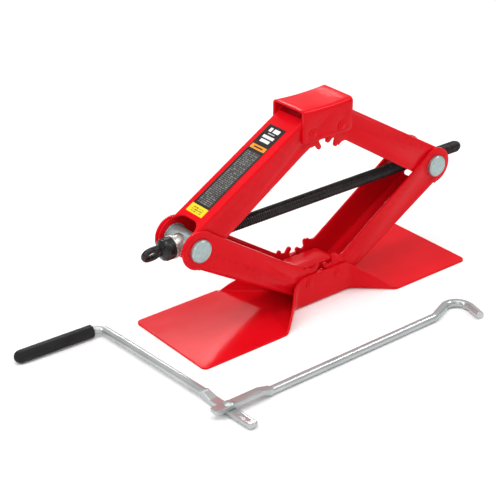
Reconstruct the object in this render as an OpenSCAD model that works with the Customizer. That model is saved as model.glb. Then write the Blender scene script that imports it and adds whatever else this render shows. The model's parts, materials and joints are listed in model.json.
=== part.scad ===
// Scissor stabilizer jack: geared channel arms on a pressed base, drawn apart
// by a lead screw, with a folding hook-and-crank handle lying beside it.
// Millimetres, Z up, the screw along X with its drive eye at the -X end.

/* [Linkage] */
// Pivot to pivot length of every arm
arm_l = 175; // [140:1:220]
// Angle of every arm above the base
arm_angle = 30.6; // [8:0.1:72]
// Distance of each geared pivot from the middle
pin_half = 20.7; // [18:0.1:24]
// Height of the base pivots above the floor
pin_z = 28.4; // [26:0.1:34]

/* [Arms] */
// Sheet thickness of the pressed parts
sheet = 2.5; // [1.5:0.1:3]
// Outside bend radius of the arm channels
arm_bend = 4; // [3:0.5:6]
// Pivot axis to the outside of the arm web
web_n = 20; // [18:0.5:24]
// Outside half width of the lower arms
lower_half = 24.9; // [22:0.1:30]
// Outside half width of the upper arms
upper_half = 22; // [19:0.1:27]
// Pivot axis to the open edge of the lower arms at the trunnion
lower_open = 21; // [16:0.5:22]
// Pivot axis to the open edge of the upper arms at the trunnion
upper_open = 18; // [15:0.5:20]
// Pivot axis to the open edge of all arms at the gear
gear_open = 12.8; // [12:0.1:14]
// Radius of the lower arms round the trunnion
lower_tip = 21.5; // [19:0.5:22]
// Radius of the upper arms round the trunnion
upper_tip = 20; // [18:0.5:21]
// Where the web notch starts, along the arm
notch_a = 157; // [150:1:160]
// Corner radius of the web notch of the lower arms
notch_r = 7; // [4:0.5:7]
// Corner radius of the web notch of the upper arms
upper_notch_r = 13; // [7:0.5:13]

/* [Gear ends] */
// Angle from one tooth to the next
tooth_pitch = 36; // [36:1:36]
// Angle of the first tooth of the right arms
tooth_first = 74; // [70:1:78]
// Radius at the tooth roots
gear_root = 16; // [15:0.1:16.5]
// Radius over the tooth tips
gear_tip = 24.6; // [23:0.1:25]
// Radius of a rounded tooth tip
tooth_tip_r = 2.8; // [2:0.1:2.9]
// Half width of a tooth at its root
tooth_foot = 3.2; // [2.8:0.1:3.4]
// Where the fillet of the first tooth ends, along the arm
throat_a = 20.5; // [18:0.5:24]
// Radius of the fillet beside the first tooth
throat_r = 9.5; // [7:0.5:10]
// Radius of the stub in place of the lower left arm's first tooth
stub_r = 2.6; // [2:0.1:3]
// Place of the stub along the arm
stub_a = 11.8; // [10:0.1:13]
// Height of the stub's centre above the pivot axis
stub_n = 14.4; // [13:0.1:15]

/* [Pivots] */
// Radius of the pivot rivets
rivet_r = 5; // [4:0.1:6]
// Radius of a rivet head
head_r = 6.1; // [5:0.1:8]
// Height of a rivet head
head_h = 1.5; // [1:0.1:3]
// Radial running clearance of the pivots
fit = 0.05; // [0.02:0.01:0.1]
// Outside radius of the tubes on the saddle rivets
tube_r = 7; // [6.5:0.1:9]

/* [Saddle] */
// Half length of the saddle
saddle_x = 35; // [30:1:45]
// Outside half width of the saddle
saddle_half = 24.8; // [24:0.1:30]
// Pivot axis to the lowest line of the saddle top
saddle_top = 27.7; // [27.5:0.1:34]
// Radius of the hollow along the saddle top
saddle_arc = 408; // [200:1:900]
// Pivot axis down to the lower edge of the saddle
saddle_skirt = 8.5; // [7:0.5:12]
// Outside bend radius of the saddle
saddle_bend = 5; // [4:0.5:5]
// Radius of the lower corners of the saddle
saddle_corner = 4; // [1:0.5:6]

/* [Base] */
// Half length of the base
base_x = 195; // [160:1:240]
// Half width of the base feet
base_y = 61.5; // [45:0.5:80]
// Corner radius of the base feet
base_corner = 6; // [2:0.5:12]
// Where the flare meets the foot, along the base
flare_x = 81; // [70:1:100]
// Where the neck ends, along the base
neck_x = 41; // [36:1:50]
// Outside half width of the neck
neck_half = 27.7; // [27:0.1:34]
// Height of the neck walls
wall_z = 38; // [34:0.5:44]
// Half length of the level top of the walls
wall_flat = 30; // [26:1:34]
// Corner radius of the wall tops
wall_corner = 7; // [2:0.5:8]
// Height of the walls halfway down the flare
wall_mid_z = 18; // [12:0.5:24]
// Distance of that height from the middle
wall_mid_x = 60; // [52:1:66]
// Outside half width of the spacer bracket
bracket_half = 15; // [10:0.5:18]
// Radius of the bracket round each pivot
bracket_r = 13.5; // [10:0.5:14]

/* [Trunnions and screw] */
// Radius of the trunnion bars
trunnion_r = 12.5; // [11:0.1:14]
// Half length of the trunnion bars
trunnion_half = 29.2; // [27:0.1:34]
// Chamfer at the trunnion ends
trunnion_chamfer = 1.4; // [0.5:0.1:2]
// Outside radius of the retaining rings
ring_r = 14.2; // [13.5:0.1:16.5]
// Thickness of a retaining ring
ring_t = 1.4; // [1:0.1:2]
// Radius of the screw thread
screw_r = 7; // [5:0.1:8]
// Radius of the plain journal
journal_r = 6; // [5:0.1:6.5]
// Trunnion axis to the thread, towards the middle
thread_start = 16.3; // [15:0.1:24]
// Trunnion axis to the far end of the screw
screw_end = 405.7; // [390:1:430]
// Chamfer at the end of the screw
screw_chamfer = 1.6; // [0.5:0.1:2]

/* [Thrust bearing] */
// Trunnion axis to the seat of the cup
cup_x = 5.2; // [4:0.1:7]
// Length of the cup
cup_l = 11.6; // [8:0.1:12]
// Outside radius of the cup
cup_r = 11.4; // [11:0.1:12]
// Wall of the cup
cup_wall = 1.4; // [1:0.1:1.5]
// Floor of the cup
cup_floor = 2.2; // [1.5:0.1:3]
// Radius of a ball
ball_r = 1.6; // [1.2:0.1:1.6]
// Radius of the ball circle
ball_circle = 8.1; // [8:0.1:8.2]
// Count of the balls
ball_n = 14; // [8:1:14]
// Length of the race inside the cup
race_l = 6.1; // [5.8:0.1:7]
// Radius of the race inside the cup
race_r = 9.6; // [9:0.1:9.6]
// Radius of the race flange
flange_r = 12.8; // [11:0.1:14]
// Thickness of the race flange
flange_t = 2.2; // [1:0.1:3]

/* [Drive eye] */
// Radius of the thrust washer
washer_r = 11.8; // [9:0.1:12.5]
// Thickness of the thrust washer
washer_t = 2.6; // [2:0.1:5]
// Radius of the eye's boss
boss_r = 12.2; // [10:0.1:12.5]
// Length of the eye's boss
boss_l = 9; // [7:0.1:12]
// Boss end to the middle of the hook hole
eye_x = 12; // [11:0.1:18]
// Radius of the hook hole
eye_hole_r = 5.2; // [4.5:0.1:6]
// Radius of the eye's rounded tip
eye_tip_r = 12.5; // [11:0.1:14]
// Width of the eye's blade
eye_w = 19; // [18:0.5:24]
// Thickness of the eye's blade
eye_t = 7; // [6:0.5:9]
// Angle the eye is turned about the screw
eye_turn = 24; // [0:1:90]
// Radius of the cross pin
cross_pin_r = 2; // [1.5:0.1:2.5]

/* [Label] */
// Start of the label along the arm
label_a = 20; // [15:1:30]
// Length of the label
label_l = 131; // [80:1:132]
// Width of the label
label_w = 26; // [15:1:34]
// Thickness of the label
label_t = 0.2; // [0.1:0.05:0.3]

/* [Handle] */
// Radius of the handle rods
rod_r = 4.7; // [4:0.1:5.5]
// Hinge position along X
hinge_x = -223.5; // [-260:0.5:-200]
// Hinge position along Y
hinge_y = -137.5; // [-180:0.5:-110]
// Width of the flattened rod at the hinge
flat_w = 11; // [10:0.5:14]
// Corner radius of the flattened ends
flat_corner = 2; // [1:0.5:4]
// Thickness of the flattened rod at the hinge
flat_t = 4.8; // [3:0.1:6]
// Underside of the hook rod's flat at the hinge
hook_flat_z = 7.1; // [7:0.1:9]
// Underside of the crank's flat at the hinge
crank_flat_z = 2; // [1.5:0.1:2.2]
// Length of the hook rod's flat before the hinge
hook_tail = 19.5; // [12:0.5:24]
// Length of the hook rod's flat after the hinge
hook_flat = 40; // [30:1:60]
// Length of the slope from flat to rod
joggle = 14; // [10:1:24]
// Hinge to the first bend of the hook rod
hook_run = 286.3; // [200:0.1:340]
// First bend of the hook
hook_kick = 22; // [10:1:40]
// Radius of the first bend
kick_r = 14; // [10:0.5:24]
// Straight between the two bends
kick_run = 23.3; // [10:0.1:40]
// Second bend of the hook
hook_turn = 127; // [90:1:150]
// Radius of the second bend
hook_r = 17; // [12:0.5:24]
// Straight at the end of the hook
hook_tip = 19; // [10:0.5:40]
// Length of the crank's flat before the hinge
crank_tail = 37.5; // [20:0.5:50]
// Length of the crank's flat after the hinge
crank_flat = 22; // [22:1:40]
// Hinge to the corner of the crank
crank_run = 205.5; // [150:0.5:260]
// Angle of the crank from the Y axis
crank_lean = 3.6; // [0:0.1:10]
// Bend at the corner of the crank
crank_turn = 84.5; // [80:0.5:95]
// Radius of the crank's corner
crank_r = 12; // [8:0.5:20]
// Radius of the hinge rivet
hinge_r = 3; // [2.5:0.1:4]
// Radius of the hinge rivet's head
hinge_head_r = 6; // [4:0.1:7]
// Height of the hinge rivet's dome
hinge_head_h = 2.6; // [1:0.1:3]
// Corner of the crank to the mouth of the grip
grip_gap = 11.3; // [11:0.1:20]
// Length of the grip
grip_l = 94; // [70:1:120]
// Width of the grip across its flats
grip_af = 13.8; // [12:0.1:18]
// Radius of the domed end of the grip
grip_dome = 9; // [8:0.5:14]
// Radial clearance of the grip on the rod
grip_fit = 0.08; // [0.03:0.01:0.1]

/* [Hidden] */
$fn = 96;
gap = 0.3;
thru = 200;
lap = 0.4;
swell = 0.03;
slack = 0.08;
foot_gap = 0.4;
foot_t = 0.8;
hinge_washer_t = 0.7;
grip_seat = 6.5;
knuckle_x = pin_half + arm_l * cos(arm_angle);
knuckle_z = pin_z + arm_l * sin(arm_angle);
saddle_z = pin_z + 2 * arm_l * sin(arm_angle);
grip_z = grip_af / 2;
cup_end = cup_x + cup_l;
race_start = cup_x + cup_floor + 2 * ball_r + 0.5;
race_end = race_start + race_l;
washer_x = race_end + flange_t;
boss_x = washer_x + washer_t;
boss_end = boss_x + boss_l;
red = [0.82, 0.06, 0.08];
zinc = [0.72, 0.74, 0.74];
black = [0.13, 0.12, 0.13];
steel = [0.86, 0.86, 0.87];
yellow = [0.9, 0.72, 0.1];

// Cylinder of radius r along Y, middle on the origin
module bar_y(r, length) {
    rotate([90, 0, 0])
    cylinder(r = r, h = length, center = true);
}

// Cylinder of radius r pointing along +X
module bar_x(r, length) {
    rotate([0, 90, 0])
    cylinder(r = r, h = length);
}

// Flat outline drawn in X and Z, made solid across Y
module across(width) {
    rotate([90, 0, 0])
    linear_extrude(width, center = true)
    children();
}

// Rivet along Y with a low dome at both ends
module rivet(r, half, cap_r, cap_h) {
    bar_y(r, 2 * half);
    for (s = [-1, 1])
        translate([0, s * half, 0])
        rotate([-s * 90, 0, 0])
        dome_head(cap_r, cap_h);
}

// Round head with a low dome on +Z
module dome_head(r, h) {
    dome_r = (r * r + h * h) / (2 * h);
    rotate_extrude()
    intersection() {
        translate([0, h - dome_r])
        circle(dome_r);
        square([r, h]);
    }
}

// U section in Y and height: web below, open above
module u_section(half, web, open, bend) {
    difference() {
        u_solid(half, web, open, bend);
        u_solid(half - sheet, web - sheet, open + 1, bend - sheet);
    }
}

module u_solid(half, web, open, bend) {
    translate([-half, bend - web])
    square([2 * half, web - bend + open]);
    translate([bend - half, -web])
    square([2 * (half - bend), 2 * bend]);
    for (s = [-1, 1])
        translate([s * (half - bend), bend - web])
        circle(bend);
}

// One rounded peg tooth pointing along +X
module tooth() {
    tip = gear_tip - tooth_tip_r;
    translate([tip, 0])
    circle(tooth_tip_r);
    polygon([[0, -tooth_foot], [gear_root - 1, -tooth_foot], [tip, -tooth_tip_r],
        [tip, tooth_tip_r], [gear_root - 1, tooth_foot], [0, tooth_foot]]);
}

// Side outline of an arm, gear pivot on the origin, open edge upwards
module arm_side(open_end, tip_r, first, teeth) {
    difference() {
        union() {
            polygon([[throat_a, -web_n], [arm_l, -web_n], [arm_l, open_end], [throat_a, gear_open]]);
            translate([arm_l, 0])
            circle(tip_r);
            circle(gear_root);
            heel();
            for (k = [0:teeth - 1])
                rotate(first + k * tooth_pitch)
                tooth();
            children();
        }
        circle(rivet_r + fit);
        translate([arm_l, 0])
        circle(trunnion_r + fit);
    }
}

// Rounded heel between the web and the last tooth
module heel() {
    intersection() {
        circle(web_n);
        polygon([[0, 0], [-web_n, -web_n * tan(20)], [-web_n, -web_n], [throat_a, -web_n], [throat_a, 0]]);
    }
}

// Neck of a left arm, level with its open edge
module plain_neck() {
    translate([0, -web_n])
    square([throat_a, web_n + gear_open]);
}

// Neck of the lower left arm, with a stub between gear and open edge
module stub_neck() {
    plain_neck();
    translate([stub_a, stub_n])
    circle(stub_r);
}

// Neck of a right arm, with a fillet from the first tooth to the open edge
module fillet_neck() {
    tip = gear_tip - tooth_tip_r;
    difference() {
        translate([0, -web_n])
        square([throat_a, web_n + tip * sin(tooth_first)]);
        translate([throat_a, gear_open + throat_r])
        circle(throat_r);
        translate([-1, gear_open])
        square([1 + tip * cos(tooth_first), throat_r]);
    }
}

// Channel arm along +X: web below, cheeks running on at both ends
module arm(half, corner, open_end, tip_r, first, teeth) {
    cheek_a = notch_a + corner;
    difference() {
        intersection() {
            across(2 * half)
            arm_side(open_end, tip_r, first, teeth)
            children();
            union() {
                rotate([90, 0, 90])
                linear_extrude(cheek_a)
                u_section(half, web_n, gear_tip, arm_bend);
                for (s = [-1, 1])
                    translate([0, s * (half - sheet / 2), 0])
                    cheek_slabs(cheek_a);
            }
        }
        translate([0, 0, -web_n - 1])
        linear_extrude(web_n)
        web_notch(half - sheet, corner);
    }
}

// Plain cheeks beyond both ends of the web
module cheek_slabs(cheek_a) {
    translate([-30, -sheet / 2, -30])
    cube([30, sheet, 60]);
    translate([cheek_a, -sheet / 2, -30])
    cube([60, sheet, 60]);
}

// Notch that clears the screw, in plan
module web_notch(half, corner) {
    translate([notch_a + corner, -half])
    square([60, 2 * half]);
    translate([notch_a, corner - half])
    square([60, 2 * (half - corner)]);
    for (s = [-1, 1])
        translate([notch_a + corner, s * (half - corner)])
        circle(corner);
}

module lower_arm_left() {
    color(red)
    translate([-pin_half, 0, pin_z])
    mirror([1, 0, 0])
    rotate([0, -arm_angle, 0])
    arm(lower_half, notch_r, lower_open, lower_tip, tooth_first + tooth_pitch / 2, 3)
    stub_neck();
}

module lower_arm_right() {
    color(red)
    translate([pin_half, 0, pin_z])
    rotate([0, -arm_angle, 0])
    arm(lower_half, notch_r, lower_open, lower_tip, tooth_first, 4)
    fillet_neck();
}

module upper_arm_left() {
    color(red)
    translate([-pin_half, 0, saddle_z])
    mirror([1, 0, 0])
    mirror([0, 0, 1])
    rotate([0, -arm_angle, 0])
    arm(upper_half, upper_notch_r, upper_open, upper_tip, tooth_first + tooth_pitch / 2, 3)
    plain_neck();
}

module upper_arm_right() {
    color(red)
    translate([pin_half, 0, saddle_z])
    mirror([0, 0, 1])
    rotate([0, -arm_angle, 0])
    arm(upper_half, upper_notch_r, upper_open, upper_tip, tooth_first, 4)
    fillet_neck();
}

module rating_label() {
    color(yellow)
    translate([-pin_half, 0, saddle_z])
    mirror([1, 0, 0])
    rotate([0, arm_angle, 0])
    translate([label_a, -label_w / 2, web_n])
    cube([label_l, label_w, label_t]);
}

// Outline of the base on the floor
module base_outline() {
    polygon([for (q = [[1, 1], [-1, 1], [-1, -1], [1, -1]]) for (k = [0, 1])
        let (j = q[0] * q[1] > 0 ? k : 1 - k)
        j == 0 ? [q[0] * flare_x, q[1] * base_y] : [q[0] * neck_x, q[1] * neck_half]]);
    for (s = [-1, 1])
        foot_outline(s);
}

// One foot with rounded outer corners
module foot_outline(s) {
    mirror([s < 0 ? 1 : 0, 0]) {
        translate([flare_x, -base_y])
        square([base_x - flare_x - base_corner, 2 * base_y]);
        translate([base_x - 2 * base_corner, base_corner - base_y])
        square([2 * base_corner, 2 * (base_y - base_corner)]);
        for (t = [-1, 1])
            translate([base_x - base_corner, t * (base_y - base_corner)])
            circle(base_corner);
    }
}

// Plan of both walls: along the neck and out along the flares
module wall_plan() {
    slope = atan2(base_y - neck_half, flare_x - neck_x);
    in_x = sheet * tan(slope / 2);
    for (t = [-1, 1])
        mirror([0, t < 0 ? 1 : 0])
        polygon([[-flare_x, base_y], [-neck_x, neck_half], [neck_x, neck_half], [flare_x, base_y],
            [flare_x + sheet * sin(slope), base_y - sheet * cos(slope)],
            [neck_x + in_x, neck_half - sheet], [-neck_x - in_x, neck_half - sheet],
            [-flare_x - sheet * sin(slope), base_y - sheet * cos(slope)]]);
}

// Side view of the walls
module wall_side() {
    difference() {
        union() {
            polygon([[-flare_x, 0], [flare_x, 0], [flare_x, sheet], [wall_mid_x, wall_mid_z],
                [wall_flat + wall_corner, wall_z - wall_corner],
                [-wall_flat - wall_corner, wall_z - wall_corner], [-wall_mid_x, wall_mid_z],
                [-flare_x, sheet]]);
            translate([-wall_flat, 0])
            square([2 * wall_flat, wall_z]);
            for (s = [-1, 1])
                translate([s * wall_flat, wall_z - wall_corner])
                circle(wall_corner);
        }
        for (s = [-1, 1])
            translate([s * pin_half, pin_z])
            circle(rivet_r + fit);
    }
}

module base_plate() {
    color(red) {
        linear_extrude(sheet)
        base_outline();
        intersection() {
            linear_extrude(wall_z)
            wall_plan();
            across(2 * base_y)
            wall_side();
        }
    }
}

module base_rivets() {
    color(red)
    for (s = [-1, 1])
        translate([s * pin_half, 0, pin_z])
        rivet(rivet_r, neck_half, head_r, head_h);
}

// Rounded outline round both base pivots
module bracket_side(r) {
    translate([-pin_half, -r])
    square([2 * pin_half, 2 * r]);
    for (s = [-1, 1])
        translate([s * pin_half, 0])
        circle(r);
}

module base_spacer() {
    color(red)
    translate([0, 0, pin_z])
    difference() {
        across(2 * bracket_half)
        bracket_side(bracket_r);
        across(2 * (bracket_half - sheet))
        bracket_side(bracket_r - sheet);
        translate([-thru / 2, sheet - bracket_half, -thru - rivet_r])
        cube([thru, 2 * (bracket_half - sheet), thru]);
        for (s = [-1, 1])
            translate([s * pin_half, 0, 0])
            bar_y(rivet_r + fit, thru);
    }
}

module saddle() {
    color(red)
    translate([0, 0, saddle_z])
    intersection() {
        translate([0, 0, saddle_top + saddle_arc])
        rotate([90, 0, 0])
        rotate_extrude($fn = 360)
        rotate(90)
        translate([0, -saddle_arc - web_n])
        mirror([0, 1])
        u_section(saddle_half, web_n, saddle_top + saddle_skirt, saddle_bend);
        across(2 * saddle_half)
        saddle_side();
    }
}

module saddle_side() {
    difference() {
        union() {
            translate([-saddle_x, saddle_corner - saddle_skirt])
            square([2 * saddle_x, saddle_top + saddle_skirt]);
            translate([saddle_corner - saddle_x, -saddle_skirt])
            square([2 * (saddle_x - saddle_corner), 2 * saddle_corner]);
            for (s = [-1, 1])
                translate([s * (saddle_x - saddle_corner), saddle_corner - saddle_skirt])
                circle(saddle_corner);
        }
        for (s = [-1, 1])
            translate([s * pin_half, 0])
            circle(rivet_r + fit);
    }
}

module saddle_rivets() {
    color(red)
    for (s = [-1, 1])
        translate([s * pin_half, 0, saddle_z])
        rivet(rivet_r, saddle_half, head_r, head_h);
}

module saddle_tubes() {
    color(zinc)
    for (s = [-1, 1])
        translate([s * pin_half, 0, saddle_z])
        difference() {
            bar_y(tube_r, 2 * (upper_half - sheet - gap));
            bar_y(rivet_r + fit, thru);
        }
}

// Bar across the knuckle with chamfered ends
module trunnion_bar() {
    bar_y(trunnion_r, 2 * (trunnion_half - trunnion_chamfer));
    for (s = [-1, 1])
        translate([0, s * (trunnion_half - trunnion_chamfer), 0])
        rotate([-s * 90, 0, 0])
        cylinder(r1 = trunnion_r, r2 = trunnion_r - trunnion_chamfer, h = trunnion_chamfer);
}

module trunnion_rings() {
    mid = upper_half - sheet - gap - ring_t / 2;
    color(zinc)
    for (s = [-1, 1])
        translate([0, s * mid, 0])
        difference() {
            bar_y(ring_r, ring_t);
            bar_y(trunnion_r, thru);
        }
}

module drive_trunnion() {
    color(zinc)
    translate([-knuckle_x, 0, knuckle_z])
    difference() {
        trunnion_bar();
        translate([-thru / 2, 0, 0])
        bar_x(journal_r + slack, thru);
        translate([-cup_x - thru, 0, 0])
        bar_x(cup_r + 0.4, thru);
    }
}

module drive_rings() {
    translate([-knuckle_x, 0, knuckle_z])
    trunnion_rings();
}

module nut_trunnion() {
    color(zinc)
    translate([knuckle_x, 0, knuckle_z])
    difference() {
        trunnion_bar();
        translate([-thru / 2, 0, 0])
        bar_x(screw_r + slack, thru);
    }
}

module nut_rings() {
    translate([knuckle_x, 0, knuckle_z])
    trunnion_rings();
}

// Moves children to the drive knuckle, looking outwards along +X
module at_drive() {
    translate([-knuckle_x, 0, knuckle_z])
    mirror([1, 0, 0])
    children();
}

module lead_screw() {
    color(black)
    at_drive()
    difference() {
        union() {
            translate([-thread_start, 0, 0])
            bar_x(journal_r, thread_start + boss_end);
            translate([screw_chamfer - screw_end, 0, 0])
            bar_x(screw_r, screw_end - thread_start - screw_chamfer);
            translate([-screw_end, 0, 0])
            rotate([0, 90, 0])
            cylinder(r1 = screw_r - screw_chamfer, r2 = screw_r, h = screw_chamfer);
        }
        cross_hole();
    }
}

// Hole of the cross pin through boss and journal
module cross_hole() {
    translate([boss_x + boss_l / 2, 0, 0])
    rotate([eye_turn, 0, 0])
    cylinder(r = cross_pin_r + fit, h = thru, center = true);
}

module drive_pin() {
    color(steel)
    at_drive()
    translate([boss_x + boss_l / 2, 0, 0])
    rotate([eye_turn, 0, 0])
    cylinder(r = cross_pin_r, h = 2 * boss_r - 1, center = true);
}

// Flat bar of the eye, from the journal outwards
module eye_bar() {
    translate([boss_end - 1, 0, 0])
    rotate([eye_turn, 0, 0])
    translate([0, -eye_t / 2, -eye_w / 2])
    cube([thru, eye_t, eye_w]);
}

module drive_eye() {
    color(black)
    at_drive()
    difference() {
        union() {
            translate([boss_x, 0, 0])
            bar_x(boss_r, boss_l);
            intersection() {
                eye_bar();
                union() {
                    translate([boss_end + eye_x, 0, 0])
                    rotate([90 + eye_turn, 0, 0])
                    cylinder(r = eye_tip_r, h = eye_t, center = true);
                    translate([boss_end - 1, 0, 0])
                    bar_x(boss_r, eye_x / 2);
                }
            }
        }
        translate([boss_end + eye_x, 0, 0])
        rotate([90 + eye_turn, 0, 0])
        cylinder(r = eye_hole_r, h = thru, center = true);
        translate([boss_x - 1, 0, 0])
        bar_x(journal_r + lap * fit, boss_l + 1);
        cross_hole();
    }
}

module thrust_washer() {
    color(black)
    at_drive()
    translate([washer_x, 0, 0])
    difference() {
        bar_x(washer_r, washer_t);
        translate([-1, 0, 0])
        bar_x(journal_r + fit, washer_t + 2);
    }
}

module bearing_race() {
    color(steel)
    at_drive()
    difference() {
        union() {
            translate([race_start, 0, 0])
            bar_x(race_r, race_l);
            translate([race_end, 0, 0])
            bar_x(flange_r, flange_t);
        }
        bar_x(journal_r + fit, thru);
    }
}

module bearing_balls() {
    color(steel)
    at_drive()
    for (k = [0:ball_n - 1])
        rotate([k * 360 / ball_n, 0, 0])
        translate([cup_x + cup_floor + ball_r + 0.1, 0, ball_circle])
        sphere(ball_r, $fn = 48);
}

module bearing_cup() {
    color(zinc)
    at_drive()
    difference() {
        translate([cup_x, 0, 0])
        bar_x(cup_r, cup_l);
        translate([cup_x + cup_floor, 0, 0])
        bar_x(cup_r - cup_wall, cup_l);
        bar_x(journal_r + gap, thru);
    }
}

// Straight rod, then the children at its end
module run(length) {
    translate([-lap, 0, 0])
    bar_x(rod_r, length + 2 * lap);
    translate([length, 0, 0])
    children();
}

// Bend of the rod to the left (s = 1) or right (s = -1), then the children
module turn(angle, radius, s) {
    mirror([0, s < 0 ? 1 : 0, 0]) {
        translate([0, radius, 0])
        rotate(-90)
        rotate_extrude(angle = angle)
        translate([radius, 0])
        circle(rod_r + swell, $fn = 48);
        translate([radius * sin(angle), radius * (1 - cos(angle)), 0])
        rotate(angle)
        mirror([0, s < 0 ? 1 : 0, 0])
        children();
    }
}

// Flattened rod end, hinge on the origin, sloping down to the rod axis at z_rod
module rod_flat(tail, ahead, z_flat, z_rod) {
    core = rod_r - gap;
    intersection() {
        translate([0, 0, -thru / 2])
        linear_extrude(thru)
        flat_plan(tail, ahead);
        across(flat_w)
        polygon([[-tail, z_flat], [ahead, z_flat], [ahead + joggle, z_rod - core],
            [ahead + joggle, z_rod + core], [ahead, z_flat + flat_t], [-tail, z_flat + flat_t]]);
    }
}

// Plan of a flattened rod end with rounded outer corners
module flat_plan(tail, ahead) {
    side = flat_w / 2 - flat_corner;
    translate([-tail, -side])
    square([2 * flat_corner, 2 * side]);
    for (s = [-1, 1])
        translate([flat_corner - tail, s * side])
        circle(flat_corner);
    translate([flat_corner - tail, -flat_w / 2])
    square([tail + ahead - flat_corner, flat_w]);
    polygon([[ahead, -flat_w / 2], [ahead + joggle, gap - rod_r], [ahead + joggle, rod_r - gap],
        [ahead, flat_w / 2]]);
}

module hook_rod() {
    color(steel)
    translate([hinge_x, hinge_y, 0])
    difference() {
        union() {
            rod_flat(hook_tail, hook_flat, hook_flat_z, rod_r);
            translate([hook_flat + joggle - 2, 0, rod_r])
            run(hook_run - hook_flat - joggle + 2)
            turn(hook_kick, kick_r, 1)
            run(kick_run)
            turn(hook_turn, hook_r, -1)
            run(hook_tip);
        }
        cylinder(r = hinge_r + fit, h = thru);
    }
}

module crank_rod() {
    bend_in = crank_r * tan(crank_turn / 2);
    color(steel)
    translate([hinge_x, hinge_y, 0])
    rotate(90 + crank_lean)
    difference() {
        union() {
            rod_flat(crank_tail, crank_flat, crank_flat_z, grip_z);
            translate([crank_flat + joggle - 2, 0, grip_z])
            run(crank_run - bend_in - crank_flat - joggle + 2)
            turn(crank_turn, crank_r, 1)
            run(grip_gap - bend_in + grip_l - grip_seat - 1.5);
        }
        cylinder(r = hinge_r + fit, h = thru);
    }
}

module hinge_rivet() {
    top = hook_flat_z + flat_t;
    color(steel)
    translate([hinge_x, hinge_y, 0]) {
        translate([0, 0, foot_gap])
        cylinder(r = hinge_r, h = top - foot_gap);
        translate([0, 0, foot_gap])
        cylinder(r = hinge_head_r - foot_t, h = foot_t);
        translate([0, 0, top])
        dome_head(hinge_head_r, hinge_head_h);
    }
}

module hinge_washer() {
    color(steel)
    translate([hinge_x, hinge_y, foot_gap + foot_t])
    difference() {
        cylinder(r = hinge_head_r, h = hinge_washer_t);
        translate([0, 0, -1])
        cylinder(r = hinge_r + fit, h = hinge_washer_t + 2);
    }
}

module grip() {
    color(black)
    translate([hinge_x, hinge_y, grip_z])
    rotate(90 + crank_lean)
    translate([crank_run, 0, 0])
    rotate(crank_turn)
    translate([grip_gap, 0, 0])
    difference() {
        intersection() {
            rotate([0, 90, 0])
            rotate(22.5)
            cylinder(r = grip_z / cos(22.5), h = grip_l, $fn = 8);
            union() {
                bar_x(grip_dome, grip_l - grip_dome);
                translate([grip_l - grip_dome, 0, 0])
                sphere(grip_dome);
            }
        }
        translate([-1, 0, 0])
        bar_x(rod_r + grip_fit, grip_l + 1 - grip_seat);
    }
}

base_plate();
base_rivets();
base_spacer();
lower_arm_left();
lower_arm_right();
upper_arm_left();
upper_arm_right();
rating_label();
saddle();
saddle_rivets();
saddle_tubes();
drive_trunnion();
drive_rings();
nut_trunnion();
nut_rings();
lead_screw();
drive_eye();
drive_pin();
thrust_washer();
bearing_race();
bearing_balls();
bearing_cup();
hook_rod();
hinge_rivet();
hinge_washer();
crank_rod();
grip();
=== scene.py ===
import json
import math

import bpy
import numpy as np
from mathutils import Matrix, Vector


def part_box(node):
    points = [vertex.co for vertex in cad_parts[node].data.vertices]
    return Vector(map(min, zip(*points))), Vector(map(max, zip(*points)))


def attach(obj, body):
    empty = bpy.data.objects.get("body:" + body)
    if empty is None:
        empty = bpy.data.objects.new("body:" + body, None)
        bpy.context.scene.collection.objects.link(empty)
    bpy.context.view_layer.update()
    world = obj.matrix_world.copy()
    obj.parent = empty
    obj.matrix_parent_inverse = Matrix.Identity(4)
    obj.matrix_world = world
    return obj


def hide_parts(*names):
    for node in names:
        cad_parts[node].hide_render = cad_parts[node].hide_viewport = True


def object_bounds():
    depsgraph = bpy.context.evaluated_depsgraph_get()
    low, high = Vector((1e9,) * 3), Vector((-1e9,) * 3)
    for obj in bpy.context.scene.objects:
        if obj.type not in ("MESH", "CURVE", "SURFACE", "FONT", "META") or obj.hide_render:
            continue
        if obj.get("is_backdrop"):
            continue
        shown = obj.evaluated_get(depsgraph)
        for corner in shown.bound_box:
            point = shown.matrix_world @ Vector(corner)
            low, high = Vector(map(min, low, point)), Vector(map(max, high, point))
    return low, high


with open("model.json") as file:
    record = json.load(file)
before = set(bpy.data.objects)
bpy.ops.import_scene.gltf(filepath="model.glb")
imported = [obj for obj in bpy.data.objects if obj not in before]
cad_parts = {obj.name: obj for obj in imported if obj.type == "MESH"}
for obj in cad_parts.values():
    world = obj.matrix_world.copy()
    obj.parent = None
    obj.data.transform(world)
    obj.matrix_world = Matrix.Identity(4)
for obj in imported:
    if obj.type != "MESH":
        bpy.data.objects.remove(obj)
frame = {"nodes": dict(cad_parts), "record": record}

cad_low, cad_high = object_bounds()
MM = 0.001

# ---------------------------------------------------------------------------
# Table top, studio light and camera.
# A white sweep under large soft lamps, with two narrow strip lamps that draw
# the bright lines along the bends of the pressed steel.
# ---------------------------------------------------------------------------

def set_down():
    """Leaves edit mode and lets go of everything, so the next operator acts on one piece."""
    if bpy.context.object and bpy.context.object.mode != "OBJECT":
        bpy.ops.object.mode_set(mode="OBJECT")
    bpy.ops.object.select_all(action="DESELECT")


def pick_up(obj):
    """Selects one piece alone and makes it active."""
    set_down()
    obj.hide_viewport = False
    obj.select_set(True)
    bpy.context.view_layer.objects.active = obj


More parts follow.
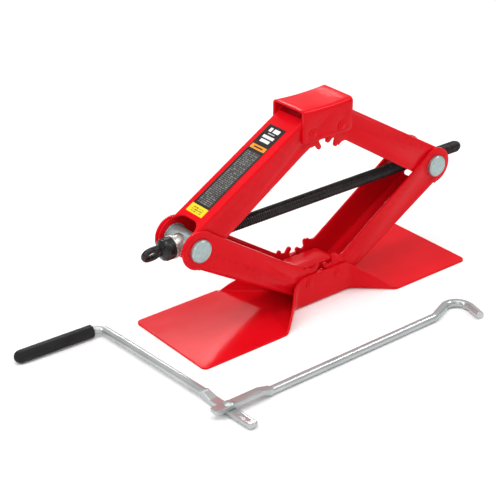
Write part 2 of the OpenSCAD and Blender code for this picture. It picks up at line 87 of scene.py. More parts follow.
def surface(name, dark, light, grain, rough, gloss_grain, bump, bump_grain, edge_wear_and_highlight=None, **sockets):
    """Mottled colour, uneven gloss and fine relief on Object coordinates; sizes in metres."""
    mat = bpy.data.materials.new(name)
    mat.use_nodes = True
    nodes, links = mat.node_tree.nodes, mat.node_tree.links
    shader = nodes["Principled BSDF"]
    where = nodes.new("ShaderNodeTexCoord")

    def noise(size, detail):
        speckle = nodes.new("ShaderNodeTexNoise")
        speckle.inputs["Scale"].default_value = 1 / size
        speckle.inputs["Detail"].default_value = detail
        links.new(where.outputs["Object"], speckle.inputs["Vector"])
        return speckle.outputs["Fac"]

    def spread(source, low, high, out_low, out_high):
        ramp = nodes.new("ShaderNodeMapRange")
        for key, value in zip(("From Min", "From Max", "To Min", "To Max"), (low, high, out_low, out_high)):
            ramp.inputs[key].default_value = value
        links.new(source, ramp.inputs["Value"])
        return ramp.outputs["Result"]

    tone = nodes.new("ShaderNodeMix")
    tone.data_type = "RGBA"
    tone.inputs["A"].default_value = (*dark, 1)
    tone.inputs["B"].default_value = (*light, 1)
    links.new(spread(noise(grain, 4), 0.3, 0.7, 0, 1), tone.inputs["Factor"])
    colour = tone.outputs["Result"]
    # Convex edges, found by pointiness, are tinted in noisy patches: a darker tint is edge wear, a lighter
    # tint is partly wear and partly a painted edge highlight.
    if edge_wear_and_highlight:
        edge_wear_and_highlight_colour, edge_patch_size, amount = edge_wear_and_highlight
        edge = nodes.new("ShaderNodeNewGeometry").outputs["Pointiness"]
        edge_wear_and_highlight_mask = nodes.new("ShaderNodeMath")
        edge_wear_and_highlight_mask.operation = "MULTIPLY"
        links.new(spread(edge, 0.53, 0.62, 0, amount), edge_wear_and_highlight_mask.inputs[0])
        links.new(spread(noise(edge_patch_size, 5), 0.45, 0.65, 0, 1), edge_wear_and_highlight_mask.inputs[1])
        edge_wear_and_highlight_mix = nodes.new("ShaderNodeMix")
        edge_wear_and_highlight_mix.data_type = "RGBA"
        links.new(colour, edge_wear_and_highlight_mix.inputs["A"])
        edge_wear_and_highlight_mix.inputs["B"].default_value = (*edge_wear_and_highlight_colour, 1)
        links.new(edge_wear_and_highlight_mask.outputs[0], edge_wear_and_highlight_mix.inputs["Factor"])
        colour = edge_wear_and_highlight_mix.outputs["Result"]
    links.new(colour, shader.inputs["Base Color"])
    links.new(spread(noise(gloss_grain, 3), 0.3, 0.7, *rough), shader.inputs["Roughness"])
    relief = nodes.new("ShaderNodeBump")
    relief.inputs["Strength"].default_value = bump[0]
    relief.inputs["Distance"].default_value = bump[1]
    links.new(noise(bump_grain, 3), relief.inputs["Height"])
    links.new(relief.outputs["Normal"], shader.inputs["Normal"])
    for key, value in sockets.items():
        shader.inputs[key.replace("_", " ")].default_value = value
    return mat


def dress(obj, mat, smooth_deg):
    """Gives a piece its one material and smooths edges flatter than smooth_deg."""
    obj.data.materials.clear()
    obj.data.materials.append(mat)
    pick_up(obj)
    bpy.ops.object.shade_smooth_by_angle(angle=math.radians(smooth_deg))
    set_down()


floor_reach = 6.0
set_down()
bpy.ops.mesh.primitive_plane_add(size=2 * floor_reach, location=(0, 0, cad_low.z))
table_top = bpy.context.object
table_top.name = "table_top"
white_sweep = surface("white_sweep", (0.93, 0.93, 0.93), (0.95, 0.95, 0.95), 0.4, (0.75, 0.85), 0.2,
    (0.02, 0.0002), 0.01, Specular_IOR_Level=0.1)
table_top.data.materials.append(white_sweep)
table_top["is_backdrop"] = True

world = bpy.data.worlds.new("studio_air")
world.use_nodes = True
sky = world.node_tree.nodes["Background"]
sky.inputs["Strength"].default_value = 0.6
sky_nodes, sky_links = world.node_tree.nodes, world.node_tree.links
sky_height = sky_nodes.new("ShaderNodeSeparateXYZ")
sky_links.new(sky_nodes.new("ShaderNodeTexCoord").outputs["Generated"], sky_height.inputs[0])
sky_ramp = sky_nodes.new("ShaderNodeValToRGB")
sky_ramp.color_ramp.elements[0].position = 0.05
sky_ramp.color_ramp.elements[0].color = (0.5, 0.5, 0.51, 1)
sky_ramp.color_ramp.elements[1].position = 0.32
sky_ramp.color_ramp.elements[1].color = (1, 1, 1, 1)
sky_links.new(sky_height.outputs["Z"], sky_ramp.inputs["Fac"])
sky_links.new(sky_ramp.outputs["Color"], sky.inputs["Color"])
bpy.context.scene.world = world
bpy.context.scene.view_settings.view_transform = "Standard"


def lamp(name, place, aim, size, power):
    """A rectangular soft lamp at place, facing aim; sizes in metres, power in watts."""
    data = bpy.data.lights.new(name, "AREA")
    data.shape = "RECTANGLE"
    data.size, data.size_y = size
    data.energy = power
    obj = bpy.data.objects.new(name, data)
    bpy.context.scene.collection.objects.link(obj)
    obj.location = place
    obj.rotation_mode = "QUATERNION"
    obj.rotation_quaternion = (Vector(aim) - Vector(place)).to_track_quat("-Z", "Y")


lamp("overhead_softbox", (-0.3, -0.2, 1.7), (0, 0, 0.1), (1.6, 1.3), 13)
lamp("front_softbox", (-1.2, -1.6, 1.0), (0, 0, 0.1), (0.5, 0.4), 5)
lamp("key_strip", (1.1, -0.6, 1.4), (0, 0, 0.12), (0.9, 0.08), 7)
lamp("left_strip", (-1.3, 0.1, 1.1), (0, 0, 0.12), (0.06, 1.1), 8)
lamp("back_strip", (0.5, 1.4, 1.1), (0, 0, 0.12), (1.2, 0.06), 8)

lens_mm = 103.768
sensor_mm = 36
see_to = 50
camera_at = Vector((-0.954014, -1.055159, 0.800076))
camera_right = Vector((0.77568889, -0.63105984, 0.0083794))
camera_up = Vector((0.28699076, 0.36452733, 0.88586462))
camera_data = bpy.data.cameras.new("studio_camera")
camera_data.sensor_width = sensor_mm
camera_data.lens = lens_mm
camera = bpy.data.objects.new("studio_camera", camera_data)
bpy.context.scene.collection.objects.link(camera)
camera_back = camera_right.cross(camera_up)
camera_turn = Matrix((camera_right, camera_up, camera_back)).transposed().to_4x4()
camera.matrix_world = Matrix.Translation(camera_at) @ camera_turn
camera_data.clip_end = see_to
bpy.context.scene.camera = camera

# ---------------------------------------------------------------------------
# Base: one pressed steel sheet, two flat feet joined by a folded neck whose
# walls flare out and run down into the feet. Sheared, pressed, then enamelled.
# ---------------------------------------------------------------------------

enamel = surface("red_enamel", (0.63, 0.003, 0.008), (0.69, 0.005, 0.012), 0.05, (0.14, 0.22), 0.02,
    (0.05, 0.0002), 0.0016, edge_wear_and_highlight=((0.42, 0.002, 0.005), 0.006, 0.35), Specular_IOR_Level=0.08)

sheet = 2.5 * MM
corner_steps = 15


def shaped_grid(name, columns, rows, place):
    """A grid of columns by rows faces, each point put where place(u, v) says, u and v from 0 to 1."""
    set_down()
    bpy.ops.mesh.primitive_grid_add(x_subdivisions=columns, y_subdivisions=rows, size=2)
    obj = bpy.context.object
    obj.name = name
    for v in obj.data.vertices:
        v.co = place((v.co.x + 1) / 2, (v.co.y + 1) / 2)
    obj.matrix_world = Matrix.Identity(4)
    return obj


def outwards(obj, gap=0):
    """Joins points closer than gap, if one is given, and turns every face outwards."""
    pick_up(obj)
    bpy.ops.object.mode_set(mode="EDIT")
    bpy.ops.mesh.select_all(action="SELECT")
    if gap:
        bpy.ops.mesh.remove_doubles(threshold=gap)
    bpy.ops.mesh.normals_make_consistent(inside=False)
    set_down()


def closed(obj, gap=0.00001):
    """Joins doubled points, fills open ends and turns every face outwards."""
    pick_up(obj)
    bpy.ops.object.mode_set(mode="EDIT")
    bpy.ops.mesh.select_all(action="SELECT")
    bpy.ops.mesh.remove_doubles(threshold=gap)
    bpy.ops.mesh.dissolve_degenerate(threshold=gap / 2)
    bpy.ops.mesh.select_all(action="SELECT")
    bpy.ops.mesh.fill_holes(sides=0)
    bpy.ops.mesh.select_all(action="SELECT")
    bpy.ops.mesh.normals_make_consistent(inside=False)
    set_down()
    return obj


def modified(obj, kind, **settings):
    """Adds one modifier with these settings and applies it."""
    pick_up(obj)
    mod = obj.modifiers.new(kind.lower(), kind)
    for key, value in settings.items():
        setattr(mod, key, value)
    bpy.ops.object.modifier_apply(modifier=mod.name)
    set_down()


def eased(x, xs, ys, reach):
    """Straight lines through the points, with corners rounded over reach on both sides."""
    steps = np.linspace(-reach, reach, corner_steps)
    weight = 1 - np.abs(steps) / (reach * 1.01)
    return float((np.interp(x + steps, xs, ys) * weight).sum() / weight.sum())


base_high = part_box("base_plate")[1]
foot_end, foot_half, wall_top = base_high.x, base_high.y, base_high.z
neck_half = 27.7 * MM
flare_from, flare_to = 41 * MM, 81 * MM
foot_corner = 6 * MM
wall_x = np.array([0, 33, 45, 50, 60, 70, 79.5, 81, 300]) * MM
wall_z = np.array([38, 38, 29, 25, 18, 10, 1.2, 0, 0]) * MM
lean_x = np.array([0, 41, 60, 72, 81, 300]) * MM
lean_y = np.array([0, 0, 3, 2, 0, 0]) * MM
base_bend = 4.5 * MM
plan_ease, height_ease, lean_ease = 7 * MM, 3.5 * MM, 4 * MM
least_wall, edge_rows = 0.3 * MM, 4 * MM
across_floor, across_bend, across_wall = 12, 6, 8
half_rows = across_floor + across_bend + across_wall


def neck_section(x):
    """Outer surface from the middle of the floor to the top of the wall, as (y, z) points."""
    x = abs(x)
    half = eased(x, [0, flare_from, flare_to, 1], [neck_half, neck_half, foot_half, foot_half], plan_ease)
    to_end = foot_end - x
    if to_end < foot_corner:
        half -= foot_corner - math.sqrt(max(foot_corner**2 - (foot_corner - to_end) ** 2, 0))
    height = min(eased(x, wall_x, wall_z, height_ease), wall_top)
    lean = eased(x, lean_x, lean_y, lean_ease)
    if height < least_wall:
        cuts = [0, half - 2 * edge_rows, half - edge_rows, half]
        ys = [np.linspace(a, b, n, endpoint=False) for a, b, n in
            zip(cuts, cuts[1:], (across_floor, across_bend, across_wall))]
        return [(y, 0) for y in np.concatenate(ys + [[half]])]
    tilt = math.atan2(height, lean)
    bend = min(base_bend, 0.8 * height / (1 - math.cos(tilt)))
    rise = bend * (1 - math.cos(tilt))
    wall = (height - rise) / math.sin(tilt)
    start = half + lean - wall * math.cos(tilt) - bend * math.sin(tilt)
    points = [(start * k / across_floor, 0) for k in range(across_floor)]
    for k in range(across_bend):
        turn = tilt * k / across_bend
        points.append((start + bend * math.sin(turn), bend * (1 - math.cos(turn))))
    wall_y = start + bend * math.sin(tilt)
    for k in range(across_wall + 1):
        up = wall * k / across_wall
        points.append((wall_y + up * math.cos(tilt), rise + up * math.sin(tilt)))
    return points


corner_stations = 195 - 6 * (1 - np.sin(np.radians(np.linspace(8, 90, 9))))
stations = np.concatenate([np.linspace(0, 28, 8), np.linspace(31, 84, 36), np.linspace(90, 186, 14),
    corner_stations]) * MM
stations = np.unique(np.concatenate([-stations, stations]))
sections = [neck_section(x) for x in stations]


def base_place(u, v):
    k = round(u * (len(stations) - 1))
    j = round((2 * v - 1) * half_rows)
    y, z = sections[k][abs(j)]
    return (stations[k], math.copysign(y, j), z)


base_sheet = shaped_grid("base_sheet", len(stations) - 1, 2 * half_rows, base_place)
outwards(base_sheet, 0.000001)
on_foot = Vector((100 * MM, 0, 0))
flat_face = min(base_sheet.data.polygons, key=lambda p: (p.center - on_foot).length)
inwards = -1 if flat_face.normal.z < 0 else 1
modified(base_sheet, "SOLIDIFY", thickness=sheet, offset=inwards, use_even_offset=True)
modified(base_sheet, "BEVEL", width=0.45 * MM, segments=2, limit_method="ANGLE", angle_limit=math.radians(50))
dress(base_sheet, enamel, 40)
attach(base_sheet, "base")
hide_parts("base_plate")

# ---------------------------------------------------------------------------
# Rivets: cold headed steel pins through the neck walls and the saddle cheeks.
# Each head is a low dome standing on a thin flange, painted over with the rest.
# ---------------------------------------------------------------------------


def turned(name, centre, axis, profile, segments=40):
    """A turned solid: profile lists (distance along the axis, radius), from end to end."""
    along = Vector(axis).normalized()
    side = along.orthogonal().normalized()
    other = along.cross(side)

    def place(u, v):
        t, r = profile[round(v * (len(profile) - 1))]
        turn = 2 * math.pi * (round(u * segments) % segments) / segments
        return Vector(centre) + along * t + (side * math.cos(turn) + other * math.sin(turn)) * r

    return closed(shaped_grid(name, segments, len(profile) - 1, place))


shank_r, head_r = 5 * MM, 6.1 * MM
dome_turns = np.radians(range(0, 91, 15))


def head_profile(seat, head_h):
    """From the seat of a head out to its crown, as (distance, radius) points."""
    flange, dome = 0.45 * head_h, 0.66 * head_r
    points = [(seat, shank_r), (seat, head_r), (seat + flange * 0.6, head_r), (seat + flange, head_r * 0.94)]
    for turn in dome_turns:
        points.append((seat + flange + (head_h - flange) * math.sin(turn), max(dome * math.cos(turn), 0)))
    return points


seats = {
    "base_rivets": ("base", neck_half),
    "saddle_rivets": ("saddle_body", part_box("saddle")[1].y),
}
for node, (body, seat) in seats.items():
    low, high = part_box(node)
    far_head = head_profile(seat, high.y - seat)
    near_head = [(-t, r) for t, r in reversed(far_head)]
    for end, x in (("left", low.x + head_r), ("right", high.x - head_r)):
        rivet = turned(f"{node}_{end}", (x, 0, (low.z + high.z) / 2), (0, 1, 0), near_head + far_head)
        dress(rivet, enamel, 35)
        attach(rivet, body)
        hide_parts(node)

# ---------------------------------------------------------------------------
# Arms, saddle and spacer: sheet steel channels, blanked with gear teeth at one
# end, folded, and enamelled. The sheared edges are broken and catch the light.
# ---------------------------------------------------------------------------


def from_frame(node, name, edge, segments=2, angle=38):
    """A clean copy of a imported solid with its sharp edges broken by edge."""
    obj = bpy.data.objects.new(name, frame["nodes"][node].data.copy())
    bpy.context.scene.collection.objects.link(obj)
    pick_up(obj)
    bpy.ops.object.mode_set(mode="EDIT")
    bpy.ops.mesh.select_all(action="SELECT")
    bpy.ops.mesh.remove_doubles(threshold=0.000002)
    bpy.ops.mesh.dissolve_limited(angle_limit=math.radians(0.6))
    set_down()
    limit = math.radians(angle)
    modified(obj, "BEVEL", width=edge, segments=segments, limit_method="ANGLE", angle_limit=limit)
    return obj


pressings = {
    "lower_arm_left": "lower_left",
    "lower_arm_right": "lower_right",
    "upper_arm_left": "upper_left",
    "upper_arm_right": "upper_right",
    "saddle": "saddle_body",
    "base_spacer": "base",
}
for node, body in pressings.items():
    channel = from_frame(node, node + "_pressing", 0.5 * MM)
    dress(channel, enamel, 40)
    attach(channel, body)
    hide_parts(node)

# ---------------------------------------------------------------------------
# Label: a printed vinyl sticker on the upper left arm. Dark field with plain
# bars in place of print, an orange strip near the top and a yellow foot.
# ---------------------------------------------------------------------------

label_low, label_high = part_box("rating_label")
arm_angle = math.radians(30.6)
down_arm = Vector((-math.cos(arm_angle), 0, -math.sin(arm_angle)))
off_arm = Vector((-math.sin(arm_angle), 0, math.cos(arm_angle)))
label_length, label_thick, vinyl_thick = 131 * MM, 0.2 * MM, 0.18 * MM
label_width = label_high.y - label_low.y


def label_place(u, v):
    across = Vector((0, (v - 0.5) * label_width, 0))
    return label_head + down_arm * (u * label_length) + across + off_arm * label_thick


def upper_face_head(point):
    """Largest at the label's highest end, and there on its outer face."""
    return -point.dot(down_arm) * 1000 + point.dot(off_arm)


corner = max((v.co for v in frame["nodes"]["rating_label"].data.vertices), key=upper_face_head)
label_head = Vector((corner.x, 0, corner.z)) - off_arm * label_thick
sticker = shaped_grid("printed_sticker", 60, 12, label_place)
uv = sticker.data.uv_layers.active or sticker.data.uv_layers.new(name="print")
for loop in sticker.data.loops:
    offset = sticker.data.vertices[loop.vertex_index].co - label_head
    uv.data[loop.index].uv = (offset.dot(down_arm) / MM, offset.y / MM + label_width / MM / 2)
outwards(sticker)
facing = sticker.data.polygons[0].normal.dot(off_arm)
modified(sticker, "SOLIDIFY", thickness=vinyl_thick, offset=-1 if facing > 0 else 1)

vinyl = bpy.data.materials.new("printed_vinyl")
vinyl.use_nodes = True
nodes, links = vinyl.node_tree.nodes, vinyl.node_tree.links
shader = nodes["Principled BSDF"]
printed = nodes.new("ShaderNodeUVMap")
printed.uv_map = uv.name
axes = nodes.new("ShaderNodeSeparateXYZ")
links.new(printed.outputs["UV"], axes.inputs[0])


def both_of(a, b):
    product = nodes.new("ShaderNodeMath")
    product.operation = "MULTIPLY"
    links.new(a, product.inputs[0])
    links.new(b, product.inputs[1])
    return product.outputs[0]


def between(source, low, high):
    """1 where source lies between low and high, else 0."""
    over = nodes.new("ShaderNodeMath")
    over.operation = "GREATER_THAN"
    over.inputs[1].default_value = low
    under = nodes.new("ShaderNodeMath")
    under.operation = "LESS_THAN"
    under.inputs[1].default_value = high
    links.new(source, over.inputs[0])
    links.new(source, under.inputs[0])
    return both_of(over.outputs[0], under.outputs[0])


def patch(top, foot, left, right):
    """1 inside a rectangle of the label, in millimetres from its top and from its left edge."""
    return both_of(between(down, top, foot), between(side, left, right))


def laid_on(under, colour, mask):
    """Colour printed over what is under it, where mask is 1."""
    print_over = nodes.new("ShaderNodeMix")
    print_over.data_type = "RGBA"
    links.new(under, print_over.inputs["A"])
    print_over.inputs["B"].default_value = (*colour, 1)
    links.new(mask, print_over.inputs["Factor"])
    return print_over.outputs["Result"]


def ruled(row, gap, word, seed_x, seed_y):
    """Rows of plain bars of uneven length: 1 on a bar, 0 between."""
    brick = nodes.new("ShaderNodeTexBrick")
    brick.inputs["Color1"].default_value = (1, 1, 1, 1)
    brick.inputs["Color2"].default_value = (0.35, 0.35, 0.35, 1)
    brick.inputs["Mortar"].default_value = (0, 0, 0, 1)
    brick.inputs["Scale"].default_value = 1
    brick.inputs["Mortar Size"].default_value = gap
    brick.inputs["Mortar Smooth"].default_value = 0
    brick.inputs["Brick Width"].default_value = word
    brick.inputs["Row Height"].default_value = row
    brick.offset, brick.squash = 0.37, 1.6
    turn = nodes.new("ShaderNodeCombineXYZ")
    links.new(axes.outputs["Y"], turn.inputs["X"])
    links.new(axes.outputs["X"], turn.inputs["Y"])
    shift = nodes.new("ShaderNodeVectorMath")
    shift.inputs[1].default_value = (seed_x, seed_y, 0)
    links.new(turn.outputs[0], shift.inputs[0])
    links.new(shift.outputs[0], brick.inputs["Vector"])
    return brick.outputs["Color"]


field = nodes.new("ShaderNodeMix")
field.data_type = "RGBA"
field.inputs["A"].default_value = (0.012, 0.011, 0.011, 1)
field.inputs["B"].default_value = (0.022, 0.02, 0.02, 1)
smudge = nodes.new("ShaderNodeTexNoise")
smudge.inputs["Scale"].default_value = 0.15
links.new(printed.outputs["UV"], smudge.inputs["Vector"])
links.new(smudge.outputs["Fac"], field.inputs["Factor"])
ink = field.outputs["Result"]
down, side = axes.outputs["X"], axes.outputs["Y"]
bars = ((3.5, 8.5, 5, 14, 0.9), (3.5, 8.5, 16.5, 20.5, 0.9), (10.5, 11.6, 8, 18, 0.5),
    (14, 17.6, 4.5, 21.5, 0.75), (19.5, 23.4, 6, 20, 0.75))
for top, foot, left, right, shade in bars:
    ink = laid_on(ink, (shade, shade, shade), patch(top, foot, left, right))
ink = laid_on(ink, (0.8, 0.27, 0.02), patch(28.5, 34.5, 1.5, 24.5))
ink = laid_on(ink, (0.03, 0.02, 0.02), patch(30.6, 32.4, 6, 20))
ink = laid_on(ink, (0.22, 0.22, 0.21), both_of(ruled(2.3, 0.42, 3.4, 0.7, 0.4), patch(38, 117, 2, 23)))
ink = laid_on(ink, (0.83, 0.6, 0.02), between(down, 119.8, 200))
ink = laid_on(ink, (0.12, 0.09, 0.01), both_of(ruled(2.6, 0.5, 4.2, 0.2, 0.2), patch(122.2, 129, 4, 22)))
links.new(ink, shader.inputs["Base Color"])
fingers = nodes.new("ShaderNodeMapRange")
fingers.inputs["To Min"].default_value = 0.25
fingers.inputs["To Max"].default_value = 0.45
links.new(smudge.outputs["Fac"], fingers.inputs["Value"])
links.new(fingers.outputs[0], shader.inputs["Roughness"])
shader.inputs["Specular IOR Level"].default_value = 0.12
dress(sticker, vinyl, 30)
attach(sticker, "upper_left")
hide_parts("rating_label")

# ---------------------------------------------------------------------------
# Trunnions: turned steel bars across the knuckles, chamfered and zinc plated,
# with their rings, the turned bearing parts and the saddle's spacer tubes.
# ---------------------------------------------------------------------------

# The lighter edge tint on the zinc is partly a painted highlight: it whitens the chamfered rims of the
# trunnions and rings.
zinc = surface("zinc_plate", (0.3, 0.4, 0.4), (0.42, 0.5, 0.49), 0.004, (0.3, 0.48), 0.003,
    (0.08, 0.0002), 0.0009, edge_wear_and_highlight=((0.6, 0.64, 0.62), 0.003, 0.5), Metallic=0.75)
# The lighter edge tint on the blued steel is partly a painted highlight on the edges of the washer and the
# drive eye.
blued = surface("blued_steel", (0.008, 0.008, 0.008), (0.016, 0.015, 0.016), 0.006, (0.2, 0.34), 0.004,
    (0.12, 0.0003), 0.0012, edge_wear_and_highlight=((0.06, 0.058, 0.058), 0.004, 0.6), Metallic=0.1, Specular_IOR_Level=0.3)
bright = surface("ground_steel", (0.55, 0.53, 0.5), (0.68, 0.66, 0.62), 0.003, (0.24, 0.36), 0.002,
    (0.06, 0.0001), 0.0006, Metallic=0.9)

turned_parts = (
    ("drive_trunnion", "drive_knuckle", zinc, "zinc", 0.3),
    ("nut_trunnion", "nut_knuckle", zinc, "zinc", 0.3),
    ("drive_rings", "drive_knuckle", zinc, "zinc", 0.2),
    ("nut_rings", "nut_knuckle", zinc, "zinc", 0.2),
    ("bearing_cup", "drive_knuckle", bright, "steel", 0.25),
    ("bearing_race", "screw", bright, "steel", 0.2),
    ("thrust_washer", "screw", blued, "black_steel", 0.5),
    ("saddle_tubes", "saddle_body", zinc, "zinc", 0.3),
)
for node, body, mat, slot, edge in turned_parts:
    part = from_frame(node, node + "_finished", edge * MM)
    dress(part, mat, 38)
    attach(part, body)
    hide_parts(node)

# ---------------------------------------------------------------------------
# Drive eye: a forged oval ring on a round boss, fixed on the end of the screw.
# The crank handle's hook goes through the ring. Blued, with a cross pin.
# ---------------------------------------------------------------------------

eye_low, eye_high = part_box("drive_eye")
eye_z = (eye_low.z + eye_high.z) / 2
boss_r, boss_l = eye_high.y, 9 * MM
boss_outline = [(0, 0), (0, boss_r - 0.6 * MM), (0.5 * MM, boss_r), (5.6 * MM, boss_r),
    (6.3 * MM, boss_r - 0.8 * MM), (8.3 * MM, boss_r - 1.1 * MM), (boss_l, boss_r - 2 * MM),
    (boss_l + 0.4 * MM, boss_r - 4.5 * MM), (boss_l + 2.6 * MM, 5.6 * MM), (boss_l + 3 * MM, 0)]
eye_boss = turned("drive_eye_boss", (eye_high.x, 0, eye_z), (-1, 0, 0), boss_outline, 56)
eye_turn = math.radians(24)
eye_across = Vector((0, -math.sin(eye_turn), math.cos(eye_turn)))
eye_through = Vector((0, math.cos(eye_turn), math.sin(eye_turn)))
ring_long, ring_wide = 9.5 * MM, 6.7 * MM
band_half, band_thick = 2.75 * MM, 3.3 * MM
ring_centre = Vector((eye_low.x + ring_long + band_half, 0, eye_z))
ring_steps, band_steps = 64, 20
ring_power, band_power = 0.86, 0.8


def rounded(turn, power):
    """A point of a squared circle of radius 1; power 1 is a circle, less is squarer."""
    c, s = math.cos(turn), math.sin(turn)
    return math.copysign(abs(c) ** power, c), math.copysign(abs(s) ** power, s)


def ring_place(u, v):
    along, across = rounded(2 * math.pi * (round(u * ring_steps) % ring_steps) / ring_steps, ring_power)
    outward = Vector((-along * ring_wide, 0, 0)) + eye_across * (across * ring_long)
    outward.normalize()
    swell, rise = rounded(2 * math.pi * (round(v * band_steps) % band_steps) / band_steps, band_power)
    middle = ring_centre + Vector((-along * ring_long, 0, 0)) + eye_across * (across * ring_wide)
    return middle + outward * (swell * band_half) + eye_through * (rise * band_thick)


eye_ring = shaped_grid("drive_eye_ring", ring_steps, band_steps, ring_place)
outwards(eye_ring, 0.00001)
for forging in (eye_boss, eye_ring):
    dress(forging, blued, 40)
    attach(forging, "screw")
    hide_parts("drive_eye")

# ---------------------------------------------------------------------------
# Lead screw: a black steel rod with a rolled thread of three millimetre lead,
# a plain journal at the drive end and a chamfer at the other.
# ---------------------------------------------------------------------------

screw_low, screw_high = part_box("lead_screw")
screw_z = (screw_low.z + screw_high.z) / 2
thread_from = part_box("drive_trunnion")[1].x + 3.8 * MM
thread_pitch = 3 * MM
crest, root = 7 * MM, 5.7 * MM
around, per_turn = 24, 6
profile = (root, root, (root + crest) / 2, crest, crest, (root + crest) / 2)
chamfer = 1.6 * MM
thread_to = screw_high.x - chamfer
turns = math.ceil((thread_to - thread_from) / thread_pitch) + 1
journal_r = 6 * MM
journal_edge = 0.5 * MM
plain_start = [(screw_low.x, 0), (screw_low.x, journal_r - journal_edge),
    (screw_low.x + journal_edge, journal_r), (thread_from, journal_r)]
plain_end = [(screw_high.x, crest - 2 * MM), (screw_high.x, 0)]
rings = len(plain_start) + turns * per_turn + 1 + len(plain_end)


def screw_place(u, v):
    k = round(v * (rings - 1))
    step = round(u * around)
    turn = 2 * math.pi * (step % around) / around
    if k < len(plain_start):
        x, r = plain_start[k]
    elif k >= rings - len(plain_end):
        x, r = plain_end[k - rings + len(plain_end)]
    else:
        k -= len(plain_start)
        x = thread_from + (k / per_turn - 1 + step / around) * thread_pitch
        x = min(max(x, thread_from), thread_to)
        depth = min((x - thread_from) / thread_pitch, (thread_to - x) / thread_pitch, 1)
        r = root + (profile[k % per_turn] - root) * max(depth, 0)
    return (x, r * math.cos(turn), screw_z + r * math.sin(turn))


thread = closed(shaped_grid("threaded_rod", around, rings - 1, screw_place))
# The lighter edge tint on the screw is partly a painted highlight: it lightens the thread crests.
oiled = surface("oiled_black_steel", (0.012, 0.011, 0.012), (0.028, 0.025, 0.026), 0.012, (0.22, 0.4), 0.006,
    (0.1, 0.0002), 0.001, edge_wear_and_highlight=((0.06, 0.056, 0.054), 0.008, 0.6), Metallic=0.2, Specular_IOR_Level=0.35)
dress(thread, oiled, 50)
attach(thread, "screw")
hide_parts("lead_screw")

for node in ("drive_pin", "bearing_balls"):
    frame["nodes"][node].data.materials.clear()
    frame["nodes"][node].data.materials.append(bright)

# ---------------------------------------------------------------------------
# Handle: two bright plated rods joined by a rivet through their flattened
# ends. One ends in a hook, the other is cranked and carries a plastic grip.
# ---------------------------------------------------------------------------

chrome = surface("bright_plate", (0.4, 0.42, 0.42), (0.5, 0.52, 0.52), 0.03, (0.16, 0.24), 0.012,
    (0.05, 0.0002), 0.004, edge_wear_and_highlight=((0.25, 0.25, 0.25), 0.01, 0.3), Metallic=0.55, Specular_IOR_Level=0.7)


die_edge = 0.4 * MM


def stamped(obj, centre, along, size):
    """Sinks a shallow rectangular pocket into obj; size is along, across and up."""
    set_down()
    bpy.ops.mesh.primitive_cube_add(size=1)
    die = bpy.context.object
    across = Vector((-along.y, along.x, 0))
    for v in die.data.vertices:
        x, y, z = (v.co[k] * size[k] for k in range(3))
        v.co = centre + along * x + across * y + Vector((0, 0, z))
    modified(die, "BEVEL", width=die_edge, segments=2)
    modified(obj, "BOOLEAN", operation="DIFFERENCE", solver="EXACT", object=die)
    bpy.data.objects.remove(die)


hinge_low, hinge_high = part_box("hinge_rivet")
hinge = Vector(((hinge_low.x + hinge_high.x) / 2, (hinge_low.y + hinge_high.y) / 2, 0))
crank_turn = math.radians(3.6)
crank_dir = Vector((-math.sin(crank_turn), math.cos(crank_turn), 0))
crank_flat_top = 6.8 * MM
pocket_from_hinge, pocket_size = 21 * MM, (19 * MM, 5.6 * MM, 1.6 * MM)
smallest_detail = 0.55 * MM
for node, body in (("hook_rod", "handle_hook"), ("crank_rod", "handle_crank")):
    rod = from_frame(node, node + "_forged", 0.3 * MM, 1, 60)
    modified(rod, "REMESH", mode="VOXEL", voxel_size=smallest_detail)
    modified(rod, "SMOOTH", factor=0.5, iterations=10)
    if node == "crank_rod":
        pocket = hinge - crank_dir * pocket_from_hinge + Vector((0, 0, crank_flat_top))
        stamped(rod, pocket, crank_dir, pocket_size)
    dress(rod, chrome, 50)
    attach(rod, body)
    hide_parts(node)
for node in ("hinge_rivet", "hinge_washer"):
    fastener = from_frame(node, node + "_plated", 0.25 * MM, 2, 30)
    dress(fastener, chrome, 40)
    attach(fastener, "handle_hook")
    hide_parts(node)

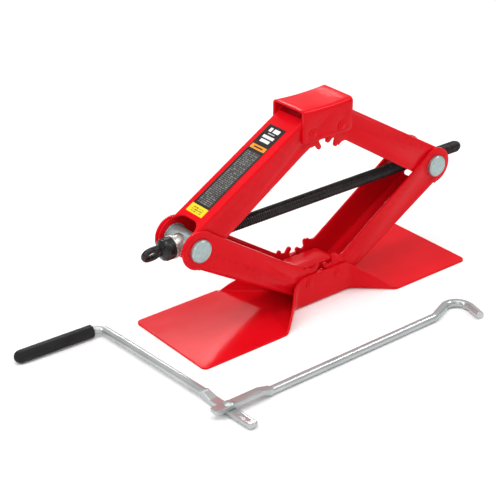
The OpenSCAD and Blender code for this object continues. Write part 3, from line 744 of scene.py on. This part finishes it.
# ---------------------------------------------------------------------------
# Grip: a hard plastic sleeve moulded with eight flats and a domed end. It
# turns freely on the crank.
# ---------------------------------------------------------------------------

# The lighter edge tint on the grip is partly a painted highlight along the corners between its flats.
rubbery = surface("grip_plastic", (0.012, 0.012, 0.013), (0.02, 0.02, 0.021), 0.02, (0.35, 0.5), 0.004,
    (0.25, 0.0002), 0.0007, edge_wear_and_highlight=((0.04, 0.04, 0.04), 0.005, 0.5), Specular_IOR_Level=0.1)
spin = next(j for j in frame["record"]["behaviour"]["joints"] if j["name"] == "grip_spin")
grip_mouth, grip_axis = Vector(spin["pos_m"]), Vector(spin["axis"]).normalized()
grip_side = Vector((-grip_axis.y, grip_axis.x, 0))
grip_length, flat_half, bore_r = 94 * MM, 6.88 * MM, 4.85 * MM
flats, per_flat = 8, 6
around_grip = flats * per_flat
mouth_depth, lip_scale, lip_edge = 6 * MM, 0.95, 0.5 * MM
corner_limit = 1.055
dome_steps = [math.sin(math.radians(t)) for t in range(0, 91, 10)]
bore_scale = bore_r / flat_half
grip_rings = [(mouth_depth, bore_scale), (0, bore_scale), (0, lip_scale), (lip_edge, 1)]
grip_rings += [(x * MM, 1) for x in range(8, 88, 8)]
grip_rings += [(grip_length - flat_half * (1 - t), math.sqrt(max(1 - t * t, 0))) for t in dome_steps]


def grip_place(u, v):
    along, scale = grip_rings[round(v * (len(grip_rings) - 1))]
    step = round(u * around_grip) % around_grip
    turn = 2 * math.pi * step / around_grip
    from_flat = (turn + math.pi / flats) % (2 * math.pi / flats) - math.pi / flats
    in_bore = scale <= bore_scale and along <= mouth_depth
    r = flat_half * scale * (1 if in_bore else min(1 / math.cos(from_flat), corner_limit))
    outward = grip_side * (r * math.cos(turn)) + Vector((0, 0, r * math.sin(turn)))
    return grip_mouth + grip_axis * along + outward


hand_grip = closed(shaped_grid("moulded_grip", around_grip, len(grip_rings) - 1, grip_place))
dress(hand_grip, rubbery, 18)
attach(hand_grip, "handle_grip")
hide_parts("grip")

set_down()
low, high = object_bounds()
